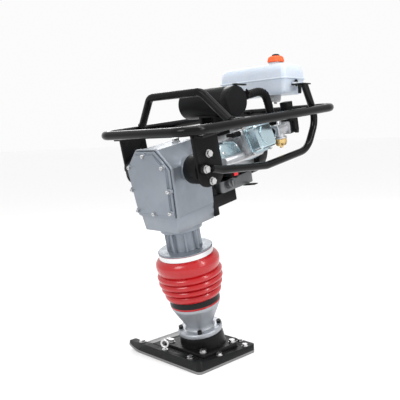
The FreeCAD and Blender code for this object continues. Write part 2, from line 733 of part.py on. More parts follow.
def make_engine_block():
    block = box(BLOCK_X, (ENGINE_FRONT_Y, ENGINE_BACK_Y), BLOCK_H)
    block = softened(block, 26, Vector(0, 1, 0))
    lip = rod(72, Vector(0, ENGINE_FRONT_Y, ENGINE_H), Vector(0, ENGINE_FRONT_Y + 10, ENGINE_H))
    skirt = box((40, 118), (132, 312), (606, 636))
    skirt = softened(skirt, 12, Vector(0, 1, 0))
    block = joined([block, lip, skirt])
    front, back = Vector(0, ENGINE_FRONT_Y, ENGINE_H), Vector(0, ENGINE_BACK_Y, ENGINE_H)
    room = rod(50, front + Vector(0, 12, 0), back - Vector(0, 12, 0))
    shaft_hole = rod(15 + FIT, front - Vector(0, 1, 0), back + Vector(0, 1, 0))
    return block.cut(room).cut(shaft_hole)


def make_engine_sump():
    """The oil pan below the block, with its filler neck."""
    pan = box((-60, 88), (ENGINE_FRONT_Y, SUMP_BACK_Y), (524, BLOCK_H[0]))
    pan = softened(pan, 14, Vector(0, 0, 1))
    neck = rod(11, Vector(78, 150, 538), Vector(100, 150, 548))
    plug = rod(14, Vector(100, 150, 548), Vector(107, 150, 551))
    wing = box((103, 112), (147, 153), (541, 560))
    inside = box((-54, 82), (ENGINE_FRONT_Y + 6, SUMP_BACK_Y - 6), (530, BLOCK_H[0]))
    return joined([pan, neck, plug, wing]).cut(inside)


def along_cylinder(shape):
    """Turn a shape built along +x at the engine's shaft so that it follows the tilted cylinder."""
    turned_shape = shape.copy()
    turned_shape.rotate(Vector(0, 0, ENGINE_H), Vector(0, 1, 0), -CYLINDER_TILT_DEG)
    return turned_shape


CYLINDER_X = (60.0, 118.0)
HEAD_X = (118.0, 138.0)
VALVE_COVER_X = (138.0, 188.0)
FIN_HALF = 47.0


def fin_stack(x, pitch, thick, half_y, half_z, core_r):
    """Square cooling fins around a round barrel."""
    centre = Vector(0, CYLINDER_Y, ENGINE_H)
    pieces = [rod(core_r, centre + Vector(x[0], 0, 0), centre + Vector(x[1], 0, 0))]
    wide = (CYLINDER_Y - half_y, CYLINDER_Y + half_y)
    tall = (ENGINE_H - half_z, ENGINE_H + half_z)
    place = x[0]
    while place + thick <= x[1]:
        fin = box((place, place + thick), wide, tall)
        pieces.append(softened(fin, 10, Vector(1, 0, 0)))
        place += pitch
    return joined(pieces)


def make_cylinder_barrel():
    return along_cylinder(fin_stack(CYLINDER_X, 6.0, 2.4, FIN_HALF, FIN_HALF, 34))


PLUG_PLACE = Vector(128, CYLINDER_Y - 56, ENGINE_H + 34)


def make_cylinder_head():
    head = box(HEAD_X, (CYLINDER_Y - 44, CYLINDER_Y + 44), (ENGINE_H - 44, ENGINE_H + 44))
    head = softened(head, 8, Vector(1, 0, 0))
    port = box((122, 136), (CYLINDER_Y + 40, CYLINDER_Y + 58), (ENGINE_H - 16, ENGINE_H + 16))
    plug_boss = rod(9, PLUG_PLACE, PLUG_PLACE + Vector(0, 16, 0))
    return along_cylinder(joined([head, port, plug_boss]))


def cover_slab(x, half, radius):
    """A square slab about the cylinder's line, with rounded corners."""
    slab = box(x, (CYLINDER_Y - half, CYLINDER_Y + half), (ENGINE_H - half, ENGINE_H + half))
    return softened(slab, radius, Vector(1, 0, 0))


def make_valve_cover():
    """A pressed cover: rim, bevelled dome and an eight-sided raised face."""
    low, high = VALVE_COVER_X
    rim = cover_slab((low, low + 5), 46, 10)
    dome = cover_slab((low + 5, high - 5), 40, 12)
    front = [edge for edge in dome.Edges if edge.BoundBox.XMin > high - 5.1]
    dome = dome.makeChamfer(7, front)
    corners = [(math.radians(22.5 + 45 * n)) for n in range(8)]
    outline = [(CYLINDER_Y + 31 * math.cos(a), ENGINE_H + 31 * math.sin(a)) for a in corners]
    face = prism_x(outline, (high - 6, high))
    return along_cylinder(joined([rim, dome, face]))


def make_valve_cover_bolts():
    places = [(CYLINDER_Y + sy * 42.5, ENGINE_H + sz * 42.5) for sy in (-1, 1) for sz in (-1, 1)]
    seat_x = VALVE_COVER_X[0] + 5
    bolts = [hex_bolt(Vector(seat_x, y, z), Vector(1, 0, 0), 6.0, 20) for y, z in places]
    return along_cylinder(group(bolts))


def make_plug_cap():
    out = Vector(0, -1, 0)
    sleeve = rod(8.5, PLUG_PLACE, PLUG_PLACE + out * 30)
    elbow = rod(6, PLUG_PLACE + out * 24, PLUG_PLACE + out * 24 + Vector(-28, 0, 7))
    return along_cylinder(joined([sleeve, elbow]))


CARB = Vector(150, 368, 676)


def make_carburettor():
    """The carburettor body with its throat along y, from the intake port to the choke."""
    throat = rod(19, CARB + Vector(0, -30, 0), CARB + Vector(0, 30, 0))
    flange = box((CARB.x - 24, CARB.x + 24), (CARB.y - 36, CARB.y - 29), (CARB.z - 17, CARB.z + 17))
    flange = softened(flange, 6, Vector(0, 1, 0))
    rear = box((CARB.x - 24, CARB.x + 24), (CARB.y + 24, CARB.y + 31), (CARB.z - 20, CARB.z + 20))
    rear = softened(rear, 6, Vector(0, 1, 0))
    well = rod(15, CARB + Vector(0, 0, -26), CARB + Vector(0, 0, 0))
    seat = rod(21, CARB + Vector(0, 0, -30), CARB + Vector(0, 0, -25))
    tower = rod(8, CARB, CARB + Vector(0, 4, 27))
    body = joined([throat, flange, rear, well, seat, tower])
    body = body.cut(rod(11, CARB + Vector(0, -40, 0), CARB + Vector(0, 40, 0)))
    return body


def make_intake_manifold():
    """The insulator between the head's port and the carburettor."""
    port = along_point(Vector(129, CYLINDER_Y + 58, ENGINE_H))
    pipe = rod(15, port - Vector(0, 1, 0), Vector(CARB.x - 6, CARB.y - 36, CARB.z))
    return pipe.common(box((0, 300), (port.y, CARB.y - 36), (500, 800)))


def along_point(point):
    tilt = math.radians(CYLINDER_TILT_DEG)
    x, z = point.x, point.z - ENGINE_H
    across = x * math.cos(tilt) - z * math.sin(tilt)
    return Vector(across, point.y, ENGINE_H + x * math.sin(tilt) + z * math.cos(tilt))


def make_float_bowl():
    low = CARB.z - 30
    bowl = turned([
        (0, low - 26), (10, low - 26), (17, low - 22), (20, low - 14), (20, low - 2), (22, low), (0, low),
    ], Vector(CARB.x, CARB.y, 0))
    nut = hexagon(11, Vector(CARB.x, CARB.y, low - 31), Vector(CARB.x, CARB.y, low - 25))
    return joined([bowl, nut])


BOX_Y = (CARB.y + 31, CARB.y + 73)


def make_intake_box():
    """The choke housing behind the carburettor, with the hose's spigot and a breather box on top."""
    lower = box((116, 176), BOX_Y, (654, 722))
    lower = softened(lower, 9, Vector(0, 1, 0))
    neck = box((140, 160), (BOX_Y[0] + 14, BOX_Y[0] + 34), (718, 736))
    breather = box((134, 166), (BOX_Y[0] + 8, BOX_Y[0] + 40), (732, 757))
    breather = softened(breather, 4, Vector(0, 0, 1))
    horn = rod(15, Vector(146, BOX_Y[1] - 2, 685), Vector(146, BOX_Y[1] + 14, 685))
    spigot = leaned_spigot()
    return joined([lower, neck, breather, horn, spigot])


def leaned_spigot():
    return rod(HOSE_R - 3.0, Vector(105, 404, 692), Vector(120, 404, 692))


def make_choke_lever():
    """A bent lever on the choke shaft, which stands out of the box's left wall."""
    pivot = Vector(176, BOX_Y[0] + 14, 690)
    shaft = rod(3, pivot + Vector(0.3, 0, 0), pivot + Vector(8, 0, 0))
    arm = box((181, 185), (BOX_Y[0] + 9, BOX_Y[0] + 19), (660, 695))
    knob = rod(6, Vector(181, BOX_Y[0] + 14, 660), Vector(191, BOX_Y[0] + 14, 660))
    return joined([shaft, arm, knob])


def make_fan_shroud():
    shroud = ring(100, 88, Vector(0, ENGINE_BACK_Y + 2, ENGINE_H), Vector(0, ENGINE_BACK_Y + 40, ENGINE_H))
    back = ring(100, 52, Vector(0, ENGINE_BACK_Y + 36, ENGINE_H), Vector(0, ENGINE_BACK_Y + 42, ENGINE_H))
    floor = ring(100, 60, Vector(0, ENGINE_BACK_Y, ENGINE_H), Vector(0, ENGINE_BACK_Y + 4, ENGINE_H))
    return joined([shroud, back, floor])


def make_flywheel():
    y = (ENGINE_BACK_Y + 8, ENGINE_BACK_Y + 22)
    disc = ring(80, 13, Vector(0, y[0], ENGINE_H), Vector(0, y[1], ENGINE_H))
    blades = []
    for number in range(12):
        blade = box((52, 79), (y[1] - 1, y[1] + 11), (ENGINE_H - 1.5, ENGINE_H + 1.5))
        blade.rotate(Vector(0, 0, ENGINE_H), Vector(0, 1, 0), 30 * number)
        blades.append(blade)
    return joined([disc] + blades)


def make_engine_shaft():
    """The crankshaft with its clutch hub."""
    main = rod(13, Vector(0, ENGINE_FRONT_Y - 20, ENGINE_H), Vector(0, ENGINE_BACK_Y + 32, ENGINE_H))
    journals = rod(15, Vector(0, ENGINE_FRONT_Y - 14, ENGINE_H), Vector(0, ENGINE_BACK_Y + 7, ENGINE_H))
    places = [Vector(0, CYLINDER_Y + offset, ENGINE_H) for offset in (-34, 10)]
    webs = [rod(40, place, place + Vector(0, 12, 0)) for place in places]
    nose = rod(9, Vector(0, SHOE_Y[0] - 2, ENGINE_H), Vector(0, ENGINE_FRONT_Y, ENGINE_H))
    hub = box((-16, 16), SHOE_Y, (ENGINE_H - 11, ENGINE_H + 11))
    hub = hub.common(rod(18, Vector(0, SHOE_Y[0], ENGINE_H), Vector(0, SHOE_Y[1], ENGINE_H)))
    return joined([main, journals, nose, hub] + webs)


def make_recoil_housing():
    base_y = ENGINE_BACK_Y + 42
    cover = turned([(0, 0), (62, 0), (62, 8), (54, 20), (30, 26), (0, 26)])
    cover.rotate(Vector(0, 0, 0), Vector(1, 0, 0), -90)
    cover.translate(Vector(0, base_y, ENGINE_H))
    inside = rod(50, Vector(0, base_y - 1, ENGINE_H), Vector(0, base_y + 16, ENGINE_H))
    guide = rod(12, Vector(-52, base_y + 12, ENGINE_H + 40), Vector(-52, base_y + 30, ENGINE_H + 40))
    lug = box((-64, -20), (base_y, base_y + 14), (ENGINE_H + 28, ENGINE_H + 52))
    body = joined([cover, lug, guide]).cut(inside)
    return body.cut(rod(4, Vector(-52, base_y + 8, ENGINE_H + 40), Vector(-52, base_y + 40, ENGINE_H + 40)))


def make_recoil_grip():
    """A T grip resting on the rope guide, with the end of its rope."""
    start = Vector(-52, ENGINE_BACK_Y + 42 + 30.3, ENGINE_H + 40)
    grip = box((-84, -20), (start.y, start.y + 20), (ENGINE_H + 30, ENGINE_H + 50))
    grip = softened(grip, 8, Vector(1, 0, 0))
    stub = rod(2.2, start - Vector(0, 12, 0), start + Vector(0, 1, 0))
    return joined([grip, stub])


def make_muffler():
    can = box((-168, -88), (150, 290), (590, 676))
    can = softened(can, 16, Vector(0, 1, 0))
    outlet = rod(12, Vector(-140, 148, 606), Vector(-140, 120, 598))
    pipe = rod(14, Vector(-90, 220, 634), Vector(BLOCK_X[0], 220, 634))
    inside = softened(box((-166, -90), (152, 288), (592, 674)), 14, Vector(0, 1, 0))
    return joined([can, outlet, pipe]).cut(inside)


def make_engine_bracket():
    """The black stepped casting under the clutch housing that ties the engine to the crankcase."""
    rear = box((-62, 82), (CASE_BACK_Y, 186), (486, 524))
    front = box((-50, 78), (CASE_BACK_Y, CASE_BACK_Y + 24), (460, 490))
    ribs = [box((x, x + 8), (CASE_BACK_Y, CASE_BACK_Y + 30), (522, 560)) for x in (-56, 68)]
    return softened(joined([rear, front] + ribs), 4, Vector(1, 0, 0))


ROCKER_PIN_R = 1.4


def make_stop_switch_body():
    """The switch's box, with two ears that carry the rocker's pin."""
    body = softened(box((64, 118), (142, 176), (572, 594)), 3, Vector(1, 0, 0))
    ears = [box((110, 124), (155, 163), h) for h in ((568, 573.5), (592.5, 598))]
    bore = rod(ROCKER_PIN_R + FIT, Vector(121, 159, 567), Vector(121, 159, 599))
    return joined([body] + ears).cut(bore)


def make_stop_switch():
    """The red rocker in the switch body."""
    rocker = prism_x([(150, 574.5), (168, 574.5), (167, 591.5), (151, 591.5)], (119.5, 123))
    pin = rod(ROCKER_PIN_R, Vector(121, 159, 569), Vector(121, 159, 597))
    return joined([rocker, pin])


def make_throttle_lever():
    """The engine's flat control lever, on a stud under the sump's rear corner."""
    pivot = Vector(70, 250, 524)
    stud = rod(4, pivot - Vector(0, 0, 8), pivot - Vector(0, 0, 0.3))
    arm = prism_y([(62, 516), (78, 516), (118, 520), (118, 523), (78, 521), (62, 521)], (242, 258))
    return joined([stud, arm])


# ---------------------------------------------------------------- mounts and plates, leg frame

def make_rubber_mounts():
    """Bonded rubber discs between the crankcase bosses and the side plates."""
    mounts = []
    for side in (-1, 1):
        inner = Vector(side * 112, MOUNT_Y, MOUNT_H)
        outer = Vector(side * (PLATE_X - PLATE_THICK / 2 - 0.3), MOUNT_Y, MOUNT_H)
        mounts.append(rod(MOUNT_R, inner, outer))
    return group(mounts)


PLATE_TOP_H = 743.0
PLATE_BOTTOM_H = 586.0
PLATE_Y = (-44.0, 57.0)


def make_side_plates():
    plates = []
    for side in (-1, 1):
        inner, outer = PLATE_X - PLATE_THICK / 2, PLATE_X + PLATE_THICK / 2
        plate = box((inner, outer), PLATE_Y, (PLATE_BOTTOM_H, PLATE_TOP_H))
        low = [e for e in plate.Edges if e.BoundBox.ZMax < PLATE_BOTTOM_H + 1 and e.BoundBox.YLength < 1]
        plate = plate.makeFillet(36, low)
        shelf_y = (PLATE_Y[0] + 6, PLATE_Y[1] - 6)
        shelf = box((inner, HANDLE_HALF - 6), shelf_y, (PLATE_TOP_H - 8, PLATE_TOP_H))
        plate = joined([plate, shelf])
        if side < 0:
            plate = plate.mirror(Vector(0, 0, 0), Vector(1, 0, 0))
        plates.append(plate)
    return group(plates)


# (y, height, how far the seat stands off the plate)
PLATE_BOLTS = [(8.0, 681.0, 0.0), (4.5, 600.0, 0.0), (-23.0, 642.0, TONGUE_THICK)]


def make_plate_bolts():
    bolts = []
    for side in (-1, 1):
        for y, z, stand in PLATE_BOLTS:
            seat = Vector(side * (PLATE_X + PLATE_THICK / 2 + stand), y, z)
            bolts.append(hex_bolt(seat, Vector(side, 0, 0), 11.0, 6 + stand))
    return group(bolts)


# ---------------------------------------------------------------- handle, row frame

def handle_z(y):
    share = (y - HANDLE_FRONT[0]) / (HANDLE_REAR[0] - HANDLE_FRONT[0])
    return HANDLE_FRONT[1] + (HANDLE_REAR[1] - HANDLE_FRONT[1]) * share


def handle_corners():
    places = [(-1, HANDLE_FRONT), (1, HANDLE_FRONT), (1, HANDLE_REAR), (-1, HANDLE_REAR)]
    return [Vector(side * HANDLE_HALF, end[0], end[1]) for side, end in places]


def make_handle_loop():
    return bent_tube(handle_corners(), 62, HANDLE_TUBE_R, HANDLE_TUBE_R - TUBE_WALL, closed=True)


BOW_FOOT_Y = -45.0
BOW_TOP = (118.0, -80.0, 850.0)


def make_lifting_bow():
    foot_z = handle_z(BOW_FOOT_Y)
    points = [
        Vector(-HANDLE_HALF, BOW_FOOT_Y, foot_z), Vector(-BOW_TOP[0], BOW_TOP[1], BOW_TOP[2]),
        Vector(BOW_TOP[0], BOW_TOP[1], BOW_TOP[2]), Vector(HANDLE_HALF, BOW_FOOT_Y, foot_z),
    ]
    return bent_tube(points, 40, BOW_TUBE_R, BOW_TUBE_R - TUBE_WALL)


def guard_points(side):
    x = side * GUARD_X
    places = [(-117, 627.6), (-73, 621), (127, 622), (345, 664), (397, 768), (330, 888)]
    return [Vector(x, y, z) for y, z in places]


def make_side_guard(side):
    """The tube from the side plate, back under the engine, up past the handle to the tank."""
    points = guard_points(side)
    plate_face = side * (PLATE_X + PLATE_THICK / 2)
    tube = bent_tube(points, GUARD_BEND, GUARD_TUBE_R, GUARD_TUBE_R - TUBE_WALL)
    lug = box(sorted((plate_face, side * GUARD_X)), (-86, -70), (615, 629))
    lug = lug.cut(solid_bar(points, GUARD_BEND, GUARD_TUBE_R - TUBE_WALL))
    tongue = box(sorted((plate_face, plate_face + side * TONGUE_THICK)), (-148, -98), (613, 640))
    tongue = softened(tongue, 9, Vector(1, 0, 0))
    tongue = tongue.cut(solid_bar(points, GUARD_BEND, GUARD_TUBE_R - 1))
    end = rod(GUARD_TUBE_R, points[0], points[0] + (points[1] - points[0]).normalize() * 3)
    above = box(sorted((side * 160, side * 220)), (280, 400), (TAB_Z, TAB_Z + 40))
    return joined([tube, lug, tongue, end]).cut(above)


# ---------------------------------------------------------------- air cleaner, row frame

def make_air_canister():
    left = Vector(AIR_X[0], AIR_Y, AIR_Z)
    right = Vector(AIR_X[1] - 32, AIR_Y, AIR_Z)
    can = rod(AIR_R, left, right)
    edges = [edge for edge in can.Edges if edge.BoundBox.XMax < AIR_X[0] + 1]
    can = can.makeFillet(8, edges)
    can = can.cut(rod(AIR_R - 2.5, left + Vector(3, 0, 0), right + Vector(1, 0, 0)))
    post = leaned(box((-38, 38), (196, 252), (BLOCK_H[1], BLOCK_H[1] + 70)))
    post = post.cut(leaned(box((-26, 26), (190, 260), (BLOCK_H[1] + 6, BLOCK_H[1] + 62))))
    post = post.cut(rod(AIR_R - 2.5, left, right)).cut(box((-90, 90), (0, 200), (AIR_Z - 30, AIR_Z + 90)))
    return joined([can, post])


HOSE_START = Vector(AIR_X[1] - 17, AIR_Y + 40, AIR_Z + 16)
HOSE_R = 14.5


def make_air_end_cap():
    start = Vector(AIR_X[1] - 32, AIR_Y, AIR_Z)
    cap = rod(AIR_R, start, Vector(AIR_X[1] - 2, AIR_Y, AIR_Z))
    edges = [edge for edge in cap.Edges if edge.BoundBox.XMin > AIR_X[1] - 3]
    cap = cap.makeFillet(6, edges)
    spigot = rod(HOSE_R - 3, HOSE_START, HOSE_START + Vector(0, 20, 4.5))
    return joined([cap, spigot])


def make_air_element():
    start, end = Vector(AIR_X[0] + 14, AIR_Y, AIR_Z), Vector(AIR_X[1] - 34, AIR_Y, AIR_Z)
    return ring(AIR_R - 14, 22, start, end)


def make_intake_hose():
    """The hose from the cleaner's end cap, over and down into the intake box."""
    low = leg_point(96, 404, 692)
    points = [HOSE_START + Vector(0, 11, 2.5), Vector(98, 233, 872), low, Vector(120, low.y, low.z)]
    return bent_tube(points, 21, HOSE_R, HOSE_R - 3.0)


# ---------------------------------------------------------------- fuel tank, row frame

SEAM_Z = 905.0
TAB_Z = 880.0


def tank_body(inset):
    """The tank's two tapered shells, drawn in all round by that much."""
    x, y = TANK_X, TANK_Y

    def section(inset_x, inset_y, height):
        low_x, high_x = x[0] + inset_x + inset, x[1] - inset_x - inset
        low_y, high_y = y[0] + inset_y + inset, y[1] - inset_y - inset
        slab = softened(box((low_x, high_x), (low_y, high_y), (height, height + 1)), 14, Vector(0, 0, 1))
        return [face for face in slab.Faces if abs(face.CenterOfMass.z - height) < 1e-6][0].OuterWire

    low, high = TANK_Z[0] + inset, TANK_Z[1] - inset
    seam = section(0, 0, SEAM_Z)
    lower = Part.makeLoft([section(11, 9, low), section(3, 3, low + 12), seam], True, True)
    upper = Part.makeLoft([seam, section(3, 2, high - 22), section(24, 12, high)], True, True)
    return joined([lower, upper])


def make_fuel_tank():
    """A blow-moulded tank with a seam flange, side ears and a filler neck."""
    x, y, z = TANK_X, TANK_Y, TANK_Z
    seam = box((x[0] - 5, x[1] + 5), (y[0] - 3, y[1] + 3), (SEAM_Z - 1.5, SEAM_Z + 1.5))
    seam = softened(seam, 16, Vector(0, 0, 1))
    ears = [box(sorted((side * 138, side * 164)), (318, 352), (TAB_Z + 4, TAB_Z + 10)) for side in (-1, 1)]
    top = Vector(CAP_PLACE[0], CAP_PLACE[1], z[1])
    neck = rod(24, top - Vector(0, 0, 8), top + Vector(0, 0, 6))
    filler = rod(20, top - Vector(0, 0, 12), top + Vector(0, 0, 7))
    return joined([tank_body(0), seam, neck] + ears).cut(tank_body(3.0)).cut(filler)


CAP_PLACE = (80.0, 323.0)


def make_tank_cap():
    x, y = CAP_PLACE
    base = TANK_Z[1] + 6.3
    outline = [(0, 0), (27.5, 0), (28.5, 3), (24.5, 16), (17, 21), (0, 21)]
    cap = turned([(r, base + h) for r, h in outline], Vector(x, y, 0))
    grips = []
    for number in range(16):
        angle = math.radians(22.5 * number)
        out = Vector(math.cos(angle), math.sin(angle), 0)
        low = Vector(x, y, base + 1) + out * 28
        high = Vector(x, y, base + 16) + out * 24.1
        grips.append(rod(2.2, low, high))
    return joined([cap] + grips)


OUTLET = (70.0, 329.0)


def make_fuel_outlet():
    x, y = OUTLET
    top = TANK_Z[0]
    outline = [(0, -30), (5, -30), (5, -24), (16, -22), (19, -15), (20, 0), (0, 0)]
    cup = turned([(r, top + h) for r, h in outline], Vector(x, y, 0))
    nipple = rod(4, Vector(x, y, top - 14), Vector(x - 4, y + 25, top - 18))
    return joined([cup, nipple])


def make_fuel_lever():
    x, y = OUTLET
    z = TANK_Z[0] - 9
    stem = rod(3.5, Vector(x - 28, y, z), Vector(x - 21, y, z))
    arm = box((x - 29, x - 25), (y - 22, y + 5), (z - 4.5, z + 4.5))
    return joined([stem, arm])


def make_tank_brackets():
    """Tabs on the guard tubes' ends that carry the tank's ears, each with a hook strip at its inner side."""
    pieces = []
    for side in (-1, 1):
        tab = box(sorted((side * 150, side * (GUARD_X + 11))), (314, 356), (TAB_Z, TAB_Z + 4))
        hook = box(sorted((side * 165, side * 169)), (331, 345), (TAB_Z - 27, TAB_Z + 1))
        stud = rod(3.5, Vector(side * 156, 335, TAB_Z - 3), Vector(side * 156, 335, TAB_Z + 20))
        nut = hexagon(11, Vector(side * 156, 335, TAB_Z + 10), Vector(side * 156, 335, TAB_Z + 16))
        pieces.append(joined([tab, hook, stud, nut]))
    return group(pieces)


# ---------------------------------------------------------------- fitting and export

def without(shape, *others):
    """Clear the space that other pieces take."""
    for other in others:
        shape = shape.cut(other)
    return shape


shoe_bolts = make_shoe_bolts()
boot_bolts = make_boot_bolts()
shoe_eye = make_shoe_eye()
cylinder_bolts = leaned(make_cylinder_bolts())
boot = without(make_boot(), boot_bolts, cylinder_bolts)
save("sole_plate", without(make_sole_plate(), shoe_bolts))
save("shoe_block", without(make_shoe_block(), shoe_bolts, boot_bolts, shoe_eye))
save("boot", boot)
save("foot_bolts", group([shoe_bolts, boot_bolts]))
save("shoe_eye", shoe_eye)
save("spring_cylinder", without(leaned(make_spring_cylinder()), cylinder_bolts))
save("cylinder_bolts", cylinder_bolts)
save("spring_cap", leaned(make_spring_cap()))
save("ram_springs", leaned(make_ram_springs()))
save("lower_clamp", leaned(make_lower_clamp()))
save("bellows", leaned(make_bellows()))

save("ram_piston", leaned(make_ram_piston()))
save("connecting_rod", leaned(make_connecting_rod()))
save("crank_gear", leaned(make_crank_gear()))
save("clutch_drum", leaned(make_clutch_drum()))
save("clutch_shoes", leaned(make_clutch_shoes()))
save("engine_shaft", leaned(make_engine_shaft()))
save("flywheel", leaned(without(make_flywheel(), make_engine_shaft())))

cover_screws = make_cover_screws()
save("guide_cylinder", leaned(make_guide_cylinder()))
save("wear_bush", leaned(make_wear_bush()))
save("upper_clamp", leaned(make_upper_clamp()))
save("crankcase", leaned(without(make_crankcase(), cover_screws, make_top_plug())))
save("front_cover", leaned(make_front_cover()))
save("top_plug", leaned(make_top_plug()))
save("case_bearings", leaned(make_case_bearings()))
save("clutch_housing", leaned(make_clutch_housing()))
save("rubber_mounts", leaned(make_rubber_mounts()))

barrel = make_cylinder_barrel()
head_bolts = make_valve_cover_bolts()
block = without(make_engine_block(), barrel, make_cylinder_head())
save("engine_block", leaned(block))
save("engine_sump", leaned(without(make_engine_sump(), make_engine_block())))
save("cylinder_barrel", leaned(barrel))
save("cylinder_head", leaned(without(make_cylinder_head(), head_bolts)))
save("valve_cover", leaned(without(make_valve_cover(), head_bolts)))
save("case_screws", leaned(group([cover_screws, head_bolts])))
save("plug_cap", leaned(make_plug_cap()))
save("carburettor", leaned(joined([make_carburettor(), make_intake_manifold()])))
save("float_bowl", leaned(make_float_bowl()))
save("intake_box", leaned(make_intake_box()))
save("choke_lever", leaned(make_choke_lever()))
save("fan_shroud", leaned(make_fan_shroud()))
save("recoil_housing", leaned(make_recoil_housing()))
save("recoil_grip", leaned(make_recoil_grip()))
save("muffler", leaned(make_muffler()))
save("engine_bracket", leaned(make_engine_bracket()))
save("switch_body", leaned(without(make_stop_switch_body(), make_engine_block())))
save("stop_switch", leaned(make_stop_switch()))
save("throttle_lever", leaned(make_throttle_lever()))

handle = make_handle_loop()
bow = make_lifting_bow()
plates = leaned(make_side_plates())
plate_bolts = leaned(make_plate_bolts())
guards = [make_side_guard(side) for side in (-1, 1)]
solid_handle = solid_bar(handle_corners(), 62, HANDLE_TUBE_R, closed=True)
save("handle_loop", handle)
save("lifting_bow", without(bow, solid_handle))
save("side_guards", without(group(guards), solid_handle, plates, plate_bolts, make_tank_brackets()))
save("side_plates", without(plates, solid_handle, plate_bolts))
save("plate_bolts", plate_bolts)
save("air_canister", make_air_canister())
save("air_end_cap", without(make_air_end_cap(), make_air_canister()))
save("air_element", make_air_element())
save("intake_hose", without(make_intake_hose(), make_air_end_cap(), leaned(make_intake_box())))
save("fuel_tank", without(make_fuel_tank(), make_tank_brackets()))
save("tank_cap", make_tank_cap())
save("fuel_outlet", make_fuel_outlet())
save("fuel_lever", make_fuel_lever())
save("tank_brackets", without(make_tank_brackets(), *guards))
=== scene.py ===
import json
import math

import bpy
from mathutils import Matrix, Vector


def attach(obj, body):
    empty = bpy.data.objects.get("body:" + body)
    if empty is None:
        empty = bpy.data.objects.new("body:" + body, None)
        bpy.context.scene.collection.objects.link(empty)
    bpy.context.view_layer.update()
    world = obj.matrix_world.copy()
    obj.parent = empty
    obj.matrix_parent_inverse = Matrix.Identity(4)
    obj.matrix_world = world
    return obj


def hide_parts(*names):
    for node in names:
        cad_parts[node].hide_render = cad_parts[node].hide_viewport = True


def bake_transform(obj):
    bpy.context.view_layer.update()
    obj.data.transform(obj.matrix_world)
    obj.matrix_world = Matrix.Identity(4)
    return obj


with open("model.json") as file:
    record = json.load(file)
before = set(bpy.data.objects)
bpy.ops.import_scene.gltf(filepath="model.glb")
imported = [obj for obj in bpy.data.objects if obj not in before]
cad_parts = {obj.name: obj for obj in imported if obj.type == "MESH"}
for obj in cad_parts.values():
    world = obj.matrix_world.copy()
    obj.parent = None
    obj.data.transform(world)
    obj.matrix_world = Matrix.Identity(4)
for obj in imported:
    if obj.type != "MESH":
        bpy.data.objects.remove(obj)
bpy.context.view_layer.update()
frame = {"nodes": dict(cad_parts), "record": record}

nodes = frame["nodes"]
LEAN = math.radians(11.0)
AXIS = Vector((0, -math.sin(LEAN), math.cos(LEAN)))
BACK = Vector((0, math.cos(LEAN), math.sin(LEAN)))
SIDE = Vector((1, 0, 0))
LEG_START_Y = 0.012
LEG = Matrix(((1, 0, 0, 0), (0, BACK.y, AXIS.y, LEG_START_Y), (0, BACK.z, AXIS.z, 0), (0, 0, 0, 1)))


def leg(x, y, h):
    """A leg-frame place, in mm, in the row frame, in metres."""
    return LEG @ Vector((x / 1000, y / 1000, h / 1000))


# ------------------------------------------------------------------ materials

COAT_ROUGHNESS = 0.12
RELIEF_DEPTH = 0.0006
DUST_COLOR = (0.42, 0.40, 0.37, 1)
# the sockets of a Mix node in its colour mode
MIX_FACTOR, MIX_FIRST, MIX_SECOND, MIX_RESULT = 0, 6, 7, 2


